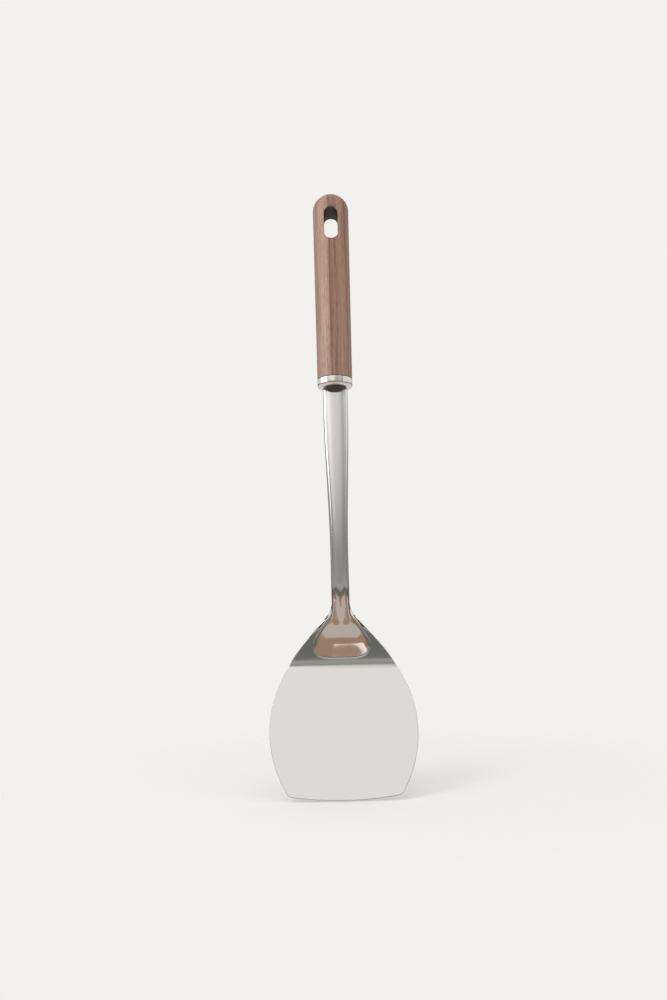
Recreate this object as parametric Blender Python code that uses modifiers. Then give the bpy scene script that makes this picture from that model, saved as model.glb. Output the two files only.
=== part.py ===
"""Cooking spatula for a wok: blade, shank and tang pressed in one steel sheet, and a turned walnut handle.

The food side faces -Y and the handle leans back, as the tool is shown in the photograph. The origin is
the upper end of the hang slot, on the handle's axis, where a hook carries the tool.
"""

import math

import bmesh
import bpy
from mathutils import Vector

# Clearance between pieces that touch on the real tool, and how far a cutter runs past a face
FIT_GAP = 0.0003
OVERRUN = 0.002
MERGE_DISTANCE = 0.00001

# Handle: a round walnut bar, a little thicker at its ball end, with a hang slot and a bore for the tang
HANDLE_LEAN = 12.8
FERRULE_DIAMETER = 0.0223
BUTT_DIAMETER = 0.0233
HANDLE_LENGTH = 0.1268
SLOT_TO_BUTT = 0.0120
SLOT_WIDTH = 0.0089
SLOT_LENGTH = 0.0219
SLOT_EASE = 0.0005
BORE_DIAMETER = 0.0112
BORE_REACH = 0.0640

# Ferrule: a drawn cup with a round lower edge and a hole for the seal
FERRULE_HEIGHT = 0.0056
FERRULE_WALL = 0.0008
FERRULE_ROLL = 0.0022
MOUTH_DIAMETER = 0.0143

# Seal: a plug in the ferrule's mouth, held by a flange inside the cup
SEAL_PROUD = 0.0006

# Sheet: its gauge, and the thinner ground lip along the front edge of the blade
SHEET_GAUGE = 0.0015
LIP_SHARE = 0.45
LIP_LENGTH = 0.0060

# Blade outline
BLADE_WIDTH = 0.0900
WIDEST_STATION = 0.0471
SIDE_RADIUS = 0.0908
FRONT_RADIUS = 0.1870
CORNER_RADIUS = 0.0057
SHOULDER_ANGLE = 42.0
NECK_FILLET = 0.0140

# Shank outline
NECK_WIDTH = 0.0111
SHANK_WIDTH = 0.0159
TAPER_START_SHARE = 0.16
TAPER_END_SHARE = 0.93

# Spine of the sheet from the front edge up: the length of each stretch along the metal
BLADE_FLAT = 0.0878
HEEL_BAND = 0.0078
SCOOP_FLOOR = 0.0094
SCOOP_RISE = 0.0101
NECK_RISE = 0.0120
NECK_RETURN = 0.0156
LOWER_SHANK = 0.0676
UPPER_SHANK = 0.0535
SHANK_ROOT = 0.0066
TANG_LENGTH = 0.0560

# Lean of the sheet at the end of each stretch, in degrees from the handle, positive towards the food side
BLADE_LEAN = -23.2
HEEL_LEAN = 2.8
FLOOR_LEAN = 4.8
RISE_LEAN = 18.8
NECK_LEAN = 26.8
RETURN_LEAN = -4.2
LOWER_LEAN = -3.7
UPPER_LEAN = -2.7
AXIS_LEAN = 0.0

# Pressed neck: a channel, open at the back, whose face flares out and dies into the blade at a curved crease
CHANNEL_CROWN = 0.0036
CHANNEL_WALL = 0.0020
FLARE_LENGTH = 0.0234
CREASE_RISE = 0.0083
CREASE_LEAD = 0.0260
CREASE_FADE = 0.0320
CREASE_SHARE = 0.71
FLANGE_FADE = 0.0080
FLANGE_MARGIN = 0.0002
SCOOP_EXPONENT = 3.6
CREASE_TURN = 1.2
SHANK_EXPONENT = 3.5
STEP_DEPTH = 0.0005
STEP_REACH = 0.0012
STEP_EXPONENT = 0.3
FLUTE_DEPTH = 0.0010
FLUTE_OFFSET = 0.0028
FLUTE_SPREAD = 0.0014
FLUTE_REACH = 0.0150
FLUTE_RISE = 0.0045

# Tang: the middle of the channel's face, run on into the handle
TANG_WIDTH = 0.0088

# Where the rows that follow the front edge have become straight rows
FRONT_BLEND = 0.0220

# Mesh counts and shares
TURN_STEPS = 48
DOME_STEPS = 10
ROLL_STEPS = 6
SLOT_STEPS = 10
ARCH_COLUMNS = 8
SIDE_COLUMNS = 5
TANG_COLUMNS = 2
SIDE_SPACING = 1.6
FRONT_ROW_SHARES = (0.0, 0.12, 0.28, 0.5, 0.75)
BLADE_ROWS = 14
BLADE_CROWDING = 1.8
BEND_ROWS = 5
RETURN_ROWS = 8
SHANK_ROWS = 10
SHARP_ANGLE = 30.0
STRAIGHT = 0.01

# Base colours
WALNUT_COLOUR = (0.27, 0.165, 0.115, 1.0)
STEEL_COLOUR = (0.60, 0.59, 0.57, 1.0)
FERRULE_COLOUR = (0.62, 0.60, 0.58, 1.0)
SEAL_COLOUR = (0.02, 0.02, 0.02, 1.0)
BOND_COLOUR = (0.55, 0.50, 0.36, 1.0)

# Length, lean at the end and number of mesh rows of each stretch of the spine
SPINE = (
    (BLADE_FLAT, BLADE_LEAN, BLADE_ROWS),
    (HEEL_BAND, HEEL_LEAN, BEND_ROWS),
    (SCOOP_FLOOR, FLOOR_LEAN, BEND_ROWS),
    (SCOOP_RISE, RISE_LEAN, BEND_ROWS),
    (NECK_RISE, NECK_LEAN, BEND_ROWS),
    (NECK_RETURN, RETURN_LEAN, RETURN_ROWS),
    (LOWER_SHANK, LOWER_LEAN, SHANK_ROWS),
    (UPPER_SHANK, UPPER_LEAN, SHANK_ROWS),
    (SHANK_ROOT, AXIS_LEAN, BEND_ROWS),
)
CREASE_STATION = BLADE_FLAT + HEEL_BAND
NECK_STATION = CREASE_STATION + SCOOP_FLOOR + SCOOP_RISE + NECK_RISE
SHANK_STATION = NECK_STATION + NECK_RETURN
SHOULDER_STATION = SHANK_STATION + LOWER_SHANK + UPPER_SHANK + SHANK_ROOT

# Heights on the handle's axis, from the hang slot at zero
DOME_Z = SLOT_TO_BUTT - BUTT_DIAMETER / 2
JOINT_Z = SLOT_TO_BUTT - HANDLE_LENGTH
MOUTH_Z = JOINT_Z - FERRULE_HEIGHT
ROLL_Z = MOUTH_Z + FERRULE_ROLL
SEAL_BOTTOM_Z = MOUTH_Z - SEAL_PROUD
SEAL_TOP_Z = ROLL_Z - FIT_GAP
SHOULDER_Z = SEAL_BOTTOM_Z - FIT_GAP
BORE_TOP_Z = SHOULDER_Z + BORE_REACH


def smooth(low, high, value):
    """Rises from 0 at low to 1 at high, level at both ends."""
    t = min(1.0, max(0.0, (value - low) / (high - low)))
    return t * t * (3 - 2 * t)


def spine_point(station):
    """Place and lean of the sheet's skirt line at this distance from the front edge."""
    y = 0.0
    z = 0.0
    lean = math.radians(BLADE_LEAN)
    for length, end_degrees, _ in SPINE:
        end = math.radians(end_degrees)
        run = min(length, station)
        turn = end - lean
        if abs(turn) < math.radians(STRAIGHT):
            y -= math.sin(lean) * run
            z += math.cos(lean) * run
        else:
            reached = lean + turn * run / length
            y += (math.cos(reached) - math.cos(lean)) * length / turn
            z += (math.sin(reached) - math.sin(lean)) * length / turn
        if station <= length:
            return y, z, lean + turn * run / length
        station -= length
        lean = end
    return y - math.sin(lean) * station, z + math.cos(lean) * station, lean


def half_width(station):
    """Half of the sheet's width: blade side arc, straight shoulder, neck fillet, then the tapered shank."""
    turn = math.radians(SHOULDER_ANGLE)
    tangent_station = WIDEST_STATION + SIDE_RADIUS * math.sin(turn)
    tangent_half = BLADE_WIDTH / 2 - SIDE_RADIUS * (1 - math.cos(turn))
    if station < tangent_station:
        offset = station - WIDEST_STATION
        return BLADE_WIDTH / 2 - SIDE_RADIUS + math.sqrt(SIDE_RADIUS**2 - offset**2)
    neck_half = NECK_WIDTH / 2
    meet_station = tangent_station + (tangent_half - neck_half) / math.tan(turn)
    setback = NECK_FILLET * math.tan(turn / 2)
    if station < meet_station - setback * math.cos(turn):
        return tangent_half - (station - tangent_station) * math.tan(turn)
    fillet_end = meet_station + setback
    if station < fillet_end:
        return neck_half + NECK_FILLET - math.sqrt(NECK_FILLET**2 - (fillet_end - station) ** 2)
    shank = SHOULDER_STATION - SHANK_STATION
    start = SHANK_STATION + TAPER_START_SHARE * shank
    end = SHANK_STATION + TAPER_END_SHARE * shank
    return neck_half + (SHANK_WIDTH - NECK_WIDTH) / 2 * smooth(start, end, station)


def crease_lift(station):
    """How far a row's outer part runs ahead of its middle, so that one row is the curved crease."""
    if station < CREASE_STATION:
        return CREASE_RISE * smooth(CREASE_STATION - CREASE_LEAD, CREASE_STATION, station)
    return CREASE_RISE * (1 - smooth(CREASE_STATION, CREASE_STATION + CREASE_FADE, station))


def crease_half(station):
    """Half width inside the crease, at a station of the sheet's outer part."""
    corner = CREASE_STATION + CREASE_RISE
    if station < corner:
        return CREASE_SHARE * half_width(station)
    widest = (1 - CREASE_SHARE) * half_width(corner) - FLANGE_MARGIN
    margin = FLANGE_MARGIN + widest * math.exp((corner - station) / FLANGE_FADE)
    return half_width(station) - margin


def crown_at(station):
    """Height of the channel's face over its skirt: none on the blade, full on the shank."""
    share = min(1.0, max(0.0, (station - CREASE_STATION) / FLARE_LENGTH))
    return CHANNEL_CROWN * math.sin(math.pi / 2 * share)


def flute_at(station, x):
    """Depth of the two grooves that leave a rib up the middle of the neck."""
    along = abs(station - NECK_STATION - FLUTE_RISE) / FLUTE_REACH
    across = (abs(x) - FLUTE_OFFSET) / FLUTE_SPREAD
    return FLUTE_DEPTH * (1 - smooth(0.0, 1.0, along)) * math.exp(-(across**2))


def step_at(station, angle):
    """Depth of the small step down into the scoop, deepest a little above the crease."""
    foot = CREASE_STATION + STEP_REACH
    down = smooth(CREASE_STATION, foot, station) * (1 - smooth(foot, NECK_STATION, station))
    return STEP_DEPTH * down * max(0.0, math.cos(angle)) ** STEP_EXPONENT


def placed(x, station, raised):
    """The point at this width and station, this far in front of the skirt line."""
    y, z, lean = spine_point(station)
    return Vector((x, y - raised * math.cos(lean), z - raised * math.sin(lean)))


def columns():
    """(angle round the arch, share of the skirt) of each column from the middle to the edge."""
    arch = [(math.pi / 2 * i / ARCH_COLUMNS, 0.0) for i in range(ARCH_COLUMNS + 1)]
    shares = [1 - (1 - i / SIDE_COLUMNS) ** SIDE_SPACING for i in range(1, SIDE_COLUMNS + 1)]
    return arch + [(math.pi / 2, share) for share in shares]


def sheet_point(station, angle, skirt):
    """A point of the food side: the spine's place, raised by the arch or dropped down the channel's wall."""
    shape = smooth(CREASE_STATION, SHANK_STATION, station)
    power = 2 / (SCOOP_EXPONENT + (SHANK_EXPONENT - SCOOP_EXPONENT) * shape)
    lift = crease_lift(station)
    inner_half = crease_half(station + lift)
    if skirt > 0:
        x = inner_half + (half_width(station + lift) - inner_half) * skirt
        drop = CHANNEL_WALL * smooth(CREASE_STATION, NECK_STATION, station)
        return placed(x, station + lift, -drop * skirt)
    x = inner_half * math.sin(angle) ** power
    raised = crown_at(station) * max(0.0, math.cos(angle)) ** power - step_at(station, angle)
    own = station + lift * (1 - math.cos(angle)) ** CREASE_TURN
    return placed(x, own, raised - flute_at(station, x))


def corner_centre():
    """Centre (x, station) of the round corner that touches the front arc and the side arc from inside."""
    front = Vector((0.0, FRONT_RADIUS))
    side = Vector((BLADE_WIDTH / 2 - SIDE_RADIUS, WIDEST_STATION))
    to_front = FRONT_RADIUS - CORNER_RADIUS
    to_side = SIDE_RADIUS - CORNER_RADIUS
    apart = side - front
    along = (apart.length_squared + to_front**2 - to_side**2) / (2 * apart.length)
    off = math.sqrt(to_front**2 - along**2)
    direction = apart.normalized()
    return front + direction * along + Vector((-direction.y, direction.x)) * off


def front_outline(share):
    """(x, station) at this share of the way along the front edge and round its corner."""
    centre = corner_centre()
    lean = math.atan2(centre.x, FRONT_RADIUS - centre.y)
    from_side = centre - Vector((BLADE_WIDTH / 2 - SIDE_RADIUS, WIDEST_STATION))
    turn = math.atan2(from_side.y, from_side.x) + math.pi / 2
    arc = FRONT_RADIUS * lean
    distance = share * (arc + CORNER_RADIUS * (turn - lean))
    if distance <= arc:
        angle = distance / FRONT_RADIUS
        return FRONT_RADIUS * math.sin(angle), FRONT_RADIUS * (1 - math.cos(angle))
    angle = lean + (distance - arc) / CORNER_RADIUS
    return centre.x + CORNER_RADIUS * math.sin(angle), centre.y - CORNER_RADIUS * math.cos(angle)


def front_row(blend):
    """Points of a row that passes from the front edge (0) to the first straight row (1)."""
    row = []
    for angle, skirt in columns():
        across = CREASE_SHARE * math.sin(angle) ** (2 / SCOOP_EXPONENT) + (1 - CREASE_SHARE) * skirt
        front_x, front_station = front_outline(across)
        front_share = front_x / half_width(front_station)
        station = front_station + (FRONT_BLEND - front_station) * blend
        share = front_share + (across - front_share) * blend
        row.append(placed(share * half_width(station), station, 0.0))
    return row


def straight_stations():
    """Stations of the straight rows: crowded towards the crease on the blade, then evenly spaced."""
    found = [FRONT_BLEND]
    start = FRONT_BLEND
    end = 0.0
    crowding = BLADE_CROWDING
    for length, _, rows in SPINE:
        end += length
        found += [end - (end - start) * (1 - i / rows) ** crowding for i in range(1, rows + 1)]
        start = end
        crowding = 1
    return found


def collection_named(name, hidden):
    """A new collection under the scene, hidden from renders if it only holds cutters."""
    collection = bpy.data.collections.new(name)
    bpy.context.scene.collection.children.link(collection)
    collection.hide_render = hidden
    return collection


def object_from(name, mesh, collection):
    """A new object that shows this mesh."""
    obj = bpy.data.objects.new(name, mesh)
    collection.objects.link(obj)
    return obj


def finish(obj, name, colour, metallic, roughness):
    """Gives the piece its own Principled material and smooth shading with sharp edges kept."""
    material = bpy.data.materials.new(name)
    material.use_nodes = True
    shader = material.node_tree.nodes["Principled BSDF"]
    shader.inputs["Base Color"].default_value = colour
    shader.inputs["Metallic"].default_value = metallic
    shader.inputs["Roughness"].default_value = roughness
    obj.data.materials.append(material)
    obj.data.shade_smooth()
    obj.data.set_sharp_from_angle(angle=math.radians(SHARP_ANGLE))


def turned(name, profile, collection):
    """A piece turned round Z from (radius, height) points that run down its outer side."""
    edges = [(i, i + 1) for i in range(len(profile) - 1)]
    if profile[0][0] > 0:
        edges.append((len(profile) - 1, 0))
    mesh = bpy.data.meshes.new(name)
    mesh.from_pydata([(radius, 0.0, height) for radius, height in profile], edges, [])
    obj = object_from(name, mesh, collection)
    screw = obj.modifiers.new("turn", "SCREW")
    screw.axis = "Z"
    screw.steps = TURN_STEPS
    screw.render_steps = TURN_STEPS
    screw.use_merge_vertices = True
    screw.merge_threshold = MERGE_DISTANCE
    return obj


def cutter_from(name, bm, collection):
    """A cutter object from a closed mesh, drawn as a wire."""
    bmesh.ops.recalc_face_normals(bm, faces=bm.faces)
    mesh = bpy.data.meshes.new(name)
    bm.to_mesh(mesh)
    bm.free()
    obj = object_from(name, mesh, collection)
    obj.hide_render = True
    obj.display_type = "WIRE"
    return obj


def round_cutter(name, diameter, low, high, collection):
    """A round cutter on the Z axis between two heights."""
    bm = bmesh.new()
    radius = diameter / 2
    bmesh.ops.create_cone(
        bm, cap_ends=True, segments=TURN_STEPS, radius1=radius, radius2=radius, depth=high - low
    )
    bmesh.ops.translate(bm, verts=bm.verts, vec=(0.0, 0.0, (low + high) / 2))
    return cutter_from(name, bm, collection)


def box_cutter(name, size_x, size_y, low, high, collection):
    """A rectangular cutter centred on the Z axis between two heights."""
    bm = bmesh.new()
    bmesh.ops.create_cube(bm)
    bmesh.ops.scale(bm, verts=bm.verts, vec=(size_x, size_y, high - low))
    bmesh.ops.translate(bm, verts=bm.verts, vec=(0.0, 0.0, (low + high) / 2))
    return cutter_from(name, bm, collection)


def slot_ring(bm, side, out, grown):
    """One ring of the slot cutter: this far outside the handle's surface and grown all round."""
    radius = SLOT_WIDTH / 2
    ring = []
    for middle, first in ((-radius, 0.0), (radius - SLOT_LENGTH, math.pi)):
        for i in range(SLOT_STEPS + 1):
            angle = first + math.pi * i / SLOT_STEPS
            x = (radius + grown) * math.cos(angle)
            surface = math.sqrt((BUTT_DIAMETER / 2) ** 2 - x**2)
            ring.append(bm.verts.new((x, side * (surface + out), middle + (radius + grown) * math.sin(angle))))
    return ring


def slot_cutter(collection):
    """A cutter with round ends, through the handle along Y, that flares out to ease the slot's edges."""
    bm = bmesh.new()
    ease = SLOT_EASE
    rings = [
        slot_ring(bm, -1, ease, 2 * ease),
        slot_ring(bm, -1, -ease, 0.0),
        slot_ring(bm, 1, -ease, 0.0),
        slot_ring(bm, 1, ease, 2 * ease),
    ]
    count = len(rings[0])
    for near, far in zip(rings, rings[1:]):
        for i in range(count):
            j = (i + 1) % count
            bm.faces.new((near[i], near[j], far[j], far[i]))
    bm.faces.new(rings[0])
    bm.faces.new(rings[-1])
    bmesh.ops.triangulate(bm, faces=[face for face in bm.faces if len(face.verts) > 4])
    return cutter_from("slot_cutter", bm, collection)


def cut(obj, cutter):
    """Takes the cutter out of the piece, and lets it ride with the piece."""
    cutter.parent = obj
    boolean = obj.modifiers.new(cutter.name, "BOOLEAN")
    boolean.operation = "DIFFERENCE"
    boolean.solver = "EXACT"
    boolean.object = cutter


def make_handle(parts, cutters):
    """The walnut handle: ball end, tapered bar, and a tenon that goes into the ferrule."""
    radius = BUTT_DIAMETER / 2
    ball = [(0.0, SLOT_TO_BUTT)]
    for i in range(1, DOME_STEPS + 1):
        angle = math.pi / 2 * i / DOME_STEPS
        ball.append((radius * math.sin(angle), DOME_Z + radius * math.cos(angle)))
    outer = FERRULE_DIAMETER / 2
    tenon = outer - FERRULE_WALL - FIT_GAP
    shoulder = JOINT_Z + FIT_GAP
    foot = [(outer, shoulder), (tenon, shoulder), (tenon, ROLL_Z), (0.0, ROLL_Z)]
    handle = turned("handle", ball + foot, parts)
    cut(handle, slot_cutter(cutters))
    cut(handle, round_cutter("bore_cutter", BORE_DIAMETER, ROLL_Z - OVERRUN, BORE_TOP_Z, cutters))
    finish(handle, "walnut", WALNUT_COLOUR, 0.0, 0.55)
    return handle


def make_ferrule(parts):
    """The ferrule: a thin cup with a round lower edge and a hole in its floor."""
    outer = FERRULE_DIAMETER / 2
    turn_radius = outer - FERRULE_ROLL
    inner_roll = FERRULE_ROLL - FERRULE_WALL
    mouth = MOUTH_DIAMETER / 2
    outside = [(outer, JOINT_Z)]
    inside = []
    for i in range(ROLL_STEPS + 1):
        angle = math.pi / 2 * i / ROLL_STEPS
        outside.append((turn_radius + FERRULE_ROLL * math.cos(angle), ROLL_Z - FERRULE_ROLL * math.sin(angle)))
        inside.append((turn_radius + inner_roll * math.cos(angle), ROLL_Z - inner_roll * math.sin(angle)))
    floor = [(mouth, MOUTH_Z), (mouth, MOUTH_Z + FERRULE_WALL)]
    inside.reverse()
    ferrule = turned("ferrule", outside + floor + inside + [(outer - FERRULE_WALL, JOINT_Z)], parts)
    finish(ferrule, "polished_ferrule_steel", FERRULE_COLOUR, 1.0, 0.08)
    return ferrule


def make_seal(parts, cutters):
    """The black plug in the ferrule's mouth, with a flange inside the cup and a slot for the tang."""
    plug = MOUTH_DIAMETER / 2 - FIT_GAP
    flange = FERRULE_DIAMETER / 2 - FERRULE_ROLL
    flange_z = MOUTH_Z + FERRULE_WALL + FIT_GAP
    upper = [(0.0, SEAL_TOP_Z), (flange, SEAL_TOP_Z), (flange, flange_z)]
    lower = [(plug, flange_z), (plug, SEAL_BOTTOM_Z), (0.0, SEAL_BOTTOM_Z)]
    seal = turned("mouth_seal", upper + lower, parts)
    slot_x = TANG_WIDTH + 2 * FIT_GAP
    slot_y = SHEET_GAUGE + 2 * FIT_GAP
    low = SEAL_BOTTOM_Z - OVERRUN
    cut(seal, box_cutter("seal_slot_cutter", slot_x, slot_y, low, SEAL_TOP_Z + OVERRUN, cutters))
    finish(seal, "black_nylon", SEAL_COLOUR, 0.0, 0.4)
    return seal


def make_bond(parts, cutters):
    """The cured adhesive that fills the bore round the tang."""
    radius = BORE_DIAMETER / 2 - FIT_GAP
    top = BORE_TOP_Z - FIT_GAP
    bond = turned("tang_bond", [(0.0, top), (radius, top), (radius, ROLL_Z), (0.0, ROLL_Z)], parts)
    slot_x = TANG_WIDTH + 2 * FIT_GAP
    slot_y = SHEET_GAUGE + 2 * FIT_GAP
    tang_top = SHOULDER_Z + TANG_LENGTH + FIT_GAP
    cut(bond, box_cutter("tang_cutter", slot_x, slot_y, ROLL_Z - OVERRUN, tang_top, cutters))
    finish(bond, "cured_epoxy", BOND_COLOUR, 0.0, 0.35)
    return bond


def sheet_rows():
    """Rows of points on the food side's right half, from the front edge up to the end of the tang."""
    rows = [front_row(blend) for blend in FRONT_ROW_SHARES]
    for station in straight_stations():
        rows.append([sheet_point(station, angle, skirt) for angle, skirt in columns()])
    for station in (SHOULDER_STATION + FIT_GAP, SHOULDER_STATION + TANG_LENGTH):
        shares = [i / TANG_COLUMNS for i in range(TANG_COLUMNS + 1)]
        rows.append([placed(TANG_WIDTH / 2 * share, station, CHANNEL_CROWN) for share in shares])
    return rows


def make_sheet(parts):
    """Blade, neck, shank and tang: half of the food side as a loft, mirrored and given its gauge."""
    bm = bmesh.new()
    lip = bm.verts.layers.deform.verify()
    rows = [[bm.verts.new(point) for point in row] for row in sheet_rows()]
    for lower, upper in zip(rows, rows[1:]):
        for i in range(len(upper) - 1):
            bm.faces.new((lower[i], lower[i + 1], upper[i + 1], upper[i]))
    for row, blend in zip(rows, FRONT_ROW_SHARES):
        for vert in row:
            vert[lip][0] = max(0.0, 1 - blend * FRONT_BLEND / LIP_LENGTH)
    mesh = bpy.data.meshes.new("blade_and_shank")
    bm.to_mesh(mesh)
    bm.free()
    sheet = object_from("blade_and_shank", mesh, parts)
    sheet.vertex_groups.new(name="front_lip")
    mirror = sheet.modifiers.new("other_half", "MIRROR")
    mirror.merge_threshold = MERGE_DISTANCE
    gauge = sheet.modifiers.new("gauge", "SOLIDIFY")
    gauge.thickness = SHEET_GAUGE
    gauge.offset = -1.0
    gauge.use_even_offset = True
    gauge.vertex_group = "front_lip"
    gauge.invert_vertex_group = True
    gauge.thickness_vertex_group = LIP_SHARE
    front = placed(0.0, SHOULDER_STATION, CHANNEL_CROWN)
    sheet.location = (0.0, -front.y - SHEET_GAUGE / 2, SHOULDER_Z - front.z)
    finish(sheet, "polished_blade_steel", STEEL_COLOUR, 1.0, 0.06)
    return sheet


def main():
    """Clears the scene and builds the spatula under one empty at the hang slot."""
    for obj in list(bpy.data.objects):
        bpy.data.objects.remove(obj, do_unlink=True)
    parts = collection_named("cooking_spatula", False)
    cutters = collection_named("cutters", True)
    hang_point = object_from("hang_point", None, parts)
    hang_point.rotation_euler.x = -math.radians(HANDLE_LEAN)
    make_sheet(parts).parent = hang_point
    make_ferrule(parts).parent = hang_point
    make_seal(parts, cutters).parent = hang_point
    make_bond(parts, cutters).parent = hang_point
    make_handle(parts, cutters).parent = hang_point


main()
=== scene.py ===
"""Looks of the cooking spatula: a polished steel sheet and ferrule, a black seal and a walnut handle."""

import logging
import math
from dataclasses import dataclass
from enum import Enum
from functools import partial
from itertools import accumulate

import bmesh
import bpy
from bpy.types import ID, Material, Mesh, NodeSocket, NodeTree, Object
from mathutils import Matrix, Vector


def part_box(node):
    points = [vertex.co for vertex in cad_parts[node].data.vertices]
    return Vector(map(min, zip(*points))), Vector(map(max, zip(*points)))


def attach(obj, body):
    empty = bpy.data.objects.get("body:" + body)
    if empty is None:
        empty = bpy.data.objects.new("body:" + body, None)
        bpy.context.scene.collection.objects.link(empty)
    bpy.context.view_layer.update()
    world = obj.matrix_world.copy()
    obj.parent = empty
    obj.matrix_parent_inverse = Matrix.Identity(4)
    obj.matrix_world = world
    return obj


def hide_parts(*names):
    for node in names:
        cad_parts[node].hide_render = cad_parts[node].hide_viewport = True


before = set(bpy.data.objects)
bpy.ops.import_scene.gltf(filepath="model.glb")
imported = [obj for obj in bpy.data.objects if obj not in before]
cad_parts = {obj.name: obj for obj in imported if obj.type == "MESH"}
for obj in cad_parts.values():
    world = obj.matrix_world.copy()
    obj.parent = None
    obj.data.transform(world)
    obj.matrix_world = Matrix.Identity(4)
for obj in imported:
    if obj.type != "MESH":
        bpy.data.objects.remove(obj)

LOG = logging.getLogger("cooking_spatula")
BODY = "root"

# Millimetres in a metre
MM = 1000.0

# The handle's lean in the frame, its upper end towards +Y, and the clearance of every seated joint
HANDLE_LEAN = math.radians(12.8)
FIT_GAP = 0.0003
MERGE_DISTANCE = 0.00001

Pair = tuple[float, float]
Pairs = tuple[Pair, ...]
Stops = tuple[tuple[float, str], ...]


class Polish(Enum):
    """How far a steel surface was taken: its mean roughness."""

    BLADE = 0.045
    FERRULE = 0.035


def linear(code: str) -> tuple[float, float, float, float]:
    """Turns an sRGB hex value to linear colour.

    Args:
        code: the colour as "#rrggbb".

    Returns:
        Linear red, green and blue, and an alpha of 1.
    """
    found = []
    for i in (1, 3, 5):
        part = int(code[i : i + 2], 16) / 255
        found.append(part / 12.92 if part <= 0.04045 else ((part + 0.055) / 1.055) ** 2.4)
    return found[0], found[1], found[2], 1.0


def add_node(
    tree: NodeTree, kind: str, inputs: tuple | dict = (), output: str | None = None, **settings: object
) -> NodeSocket | None:
    """Adds a node, sets it up and fills its inputs.

    Args:
        tree: the node tree that gets the node.
        kind: the node's type name.
        inputs: a value or an output to link for each input, by name, or in order for the inputs in use.
        output: name of the output wanted, where that isn't the first one in use.
        settings: values of the node's own properties.

    Returns:
        That output, or None where the node has none.
    """
    node = tree.nodes.new(kind)
    for name, value in settings.items():
        setattr(node, name, value)
    if isinstance(inputs, dict):
        filled = [(node.inputs[name], value) for name, value in inputs.items()]
    else:
        filled = zip([socket for socket in node.inputs if socket.enabled], inputs)
    for socket, value in filled:
        if isinstance(value, NodeSocket):
            tree.links.new(value, socket)
        else:
            socket.default_value = value
    return node.outputs[output] if output else next((out for out in node.outputs if out.enabled), None)


def graded(tree: NodeTree, value: NodeSocket, stops: Pairs | Stops, ends: Pair = (0.0, 1.0)) -> NodeSocket:
    """Turns a value to the colours of stops.

    Args:
        tree: the node tree.
        value: the value.
        stops: the value at each stop, and its colour as "#rrggbb" or its grey level.
        ends: the ramp's lowest and highest value.

    Returns:
        The colour.
    """
    low, high = ends
    share = add_node(tree, "ShaderNodeMapRange", (value, low, high))
    colour = add_node(tree, "ShaderNodeValToRGB", (share,))
    elements = colour.node.color_ramp.elements
    while len(elements) < len(stops):
        elements.new(1.0)
    for element, (at, shown) in zip(elements, stops):
        element.position = (at - low) / (high - low)
        element.color = linear(shown) if isinstance(shown, str) else (shown, shown, shown, 1.0)
    return colour


def aligned_place(tree: NodeTree) -> NodeSocket:
    """Adds coordinates whose Z runs along the handle."""
    place = add_node(tree, "ShaderNodeTexCoord", output="Object")
    return add_node(tree, "ShaderNodeMapping", {"Vector": place, "Rotation": (HANDLE_LEAN, 0.0, 0.0)})


def drawn_noise(
    tree: NodeTree, place: NodeSocket, width: float, length: float, depth_scale: float = 1.0
) -> NodeSocket:
    """Adds a noise drawn out along the handle.

    Args:
        tree: a material's node tree.
        place: coordinates with Z along the handle.
        width: width of its features in millimetres.
        length: their length in millimetres.
        depth_scale: its scale front to back, under 1 where it is drawn out that way too.

    Returns:
        The noise.
    """
    scale = (1.0, depth_scale, width / length)
    drawn = add_node(tree, "ShaderNodeMapping", {"Vector": place, "Scale": scale})
    return add_node(tree, "ShaderNodeTexNoise", {"Vector": drawn, "Scale": MM / width, "Detail": 2.0})


def finished(tree: NodeTree, looks: dict[str, object], relief: Pair, height: NodeSocket) -> None:
    """Ends a finish's node tree with its relief, its shader and its output.

    Args:
        tree: a material's node tree.
        looks: the shader's inputs by name, but for its normal.
        relief: the relief's strength, and its depth in metres.
        height: the pattern that stands up.
    """
    strength, distance = relief
    raised = add_node(tree, "ShaderNodeBump", {"Strength": strength, "Distance": distance, "Height": height})
    shader = add_node(tree, "ShaderNodeBsdfPrincipled", looks | {"Normal": raised})
    add_node(tree, "ShaderNodeOutputMaterial", (shader,))


def new_material(name: str) -> tuple[Material, NodeTree]:
    """Makes an empty node material.

    Args:
        name: the material's name.

    Returns:
        The material and its node tree without nodes.
    """
    material = bpy.data.materials.new(name)
    material.use_nodes = True
    material.node_tree.nodes.clear()
    return material, material.node_tree


def object_with(name: str, data: ID) -> Object:
    """Puts a mesh, light or camera in the scene as an object at the origin.

    Args:
        name: the object's name.
        data: what it shows.

    Returns:
        The linked object.
    """
    obj = bpy.data.objects.new(name, data)
    bpy.context.scene.collection.objects.link(obj)
    return obj


def mesh_from(name: str, bm: bmesh.types.BMesh) -> Mesh:
    """Turns a bmesh to a mesh with merged doubles and outward normals.

    Args:
        name: the mesh's name.
        bm: the bmesh, which is freed.

    Returns:
        The new mesh.
    """
    bmesh.ops.remove_doubles(bm, verts=bm.verts, dist=MERGE_DISTANCE)
    bmesh.ops.recalc_face_normals(bm, faces=bm.faces)
    mesh = bpy.data.meshes.new(name)
    bm.to_mesh(mesh)
    bm.free()
    return mesh


def baked(obj: Object) -> None:
    """Applies every modifier of a piece, which then has none.

    Args:
        obj: the piece.
    """
    depsgraph = bpy.context.evaluated_depsgraph_get()
    mesh = bpy.data.meshes.new_from_object(obj.evaluated_get(depsgraph))
    obj.modifiers.clear()
    obj.data = mesh


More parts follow.
